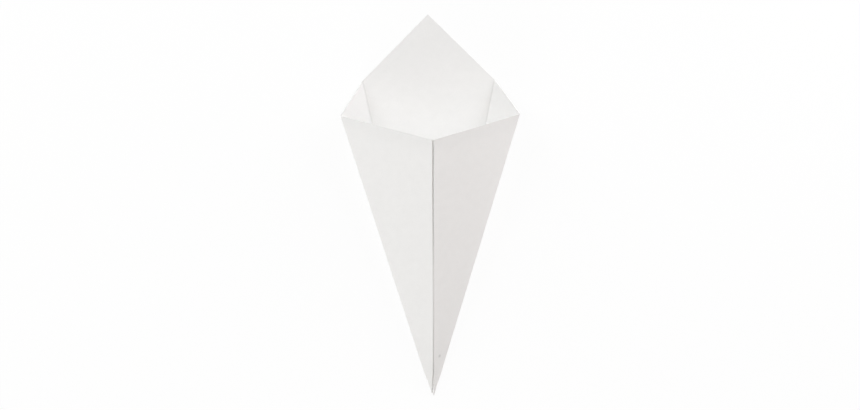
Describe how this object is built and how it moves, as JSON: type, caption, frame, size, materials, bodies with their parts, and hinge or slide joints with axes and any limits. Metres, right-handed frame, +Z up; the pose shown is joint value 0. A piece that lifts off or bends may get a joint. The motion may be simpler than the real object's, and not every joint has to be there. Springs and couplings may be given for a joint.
{
  "type": "paper fries cone",
  "caption": "Folded paperboard cone with a pointed back and a glued front ridge; holds a hand-held portion of fries or other snacks.",
  "frame": {"origin": "on the outer face of the back panel, on its centreline, midway between the point where the folds would meet and the back's pointed top", "axes": "+Z up out of the back panel, on which the cone lies, towards the front ridge; +Y from the tip to the pointed top; +X to the right as seen from above with the tip nearest"},
  "size_m": [0.1084, 0.2374, 0.0641],
  "materials": {
    "board": "matt bleached white paperboard, uncoated"
  },
  "bodies": {
    "root": {"paper_cone": "board"}
  },
  "joints": []
}
